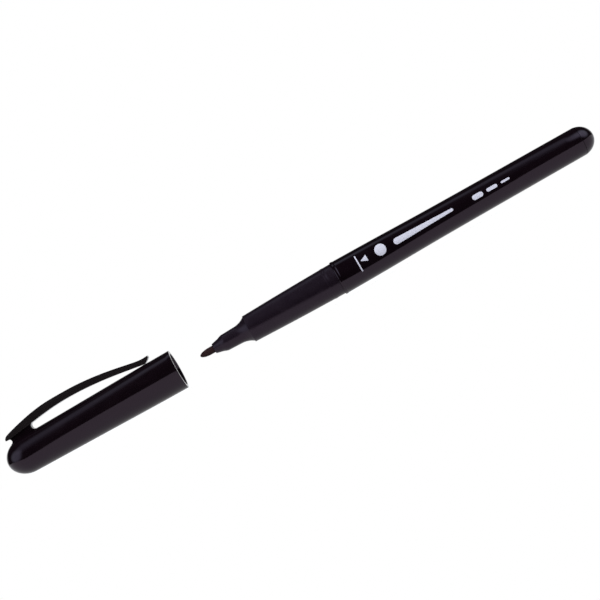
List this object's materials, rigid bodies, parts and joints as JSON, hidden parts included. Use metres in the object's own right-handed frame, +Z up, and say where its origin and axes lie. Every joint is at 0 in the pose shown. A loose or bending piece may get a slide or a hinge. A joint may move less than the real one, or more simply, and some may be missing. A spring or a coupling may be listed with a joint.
{
  "type": "permanent marker",
  "caption": "Slim permanent marker with its cap pulled off: tapered barrel with a rear plug, grip section with a stepped nose, bullet nib, and a domed cap with a moulded pocket clip.",
  "frame": {"origin": "on the table, under the middle of the whole: halfway between the cap's closed end and the pen's tail", "axes": "+X along the pen from nib to tail, +Z up through the pocket clip, +Y across"},
  "size_m": [0.1912, 0.012, 0.0166],
  "materials": {
    "gloss_black": "polished injection moulding",
    "satin_black": "satin injection moulding",
    "nib_fibre": "pressed fibre, inked",
    "ink_fibre": "bundled fibre, ink-soaked",
    "wrap_film": "thin film",
    "seal_plastic": "as moulded"
  },
  "bodies": {
    "pen": {"barrel": "gloss_black", "rear_plug": "gloss_black", "front_section": "satin_black", "nib": "nib_fibre", "ink_reservoir": "ink_fibre", "reservoir_wrap": "wrap_film"},
    "cap": {"cap_shell": "gloss_black", "cap_inner_seal": "seal_plastic"},
    "clip": {"pocket_clip": "gloss_black"}
  },
  "joints": [
    {"name": "cap_slide", "type": "slide", "parent": "pen", "child": "cap", "axis": [1, 0, 0], "range_m": [0, 0.0521]},
    {"name": "clip_flex", "type": "hinge", "parent": "cap", "child": "clip", "pos_m": [-0.08365, 0, 0.01447], "axis": [0, -1, 0], "range_deg": [0, 6], "stiffness_Nm_per_rad": 1}
  ]
}
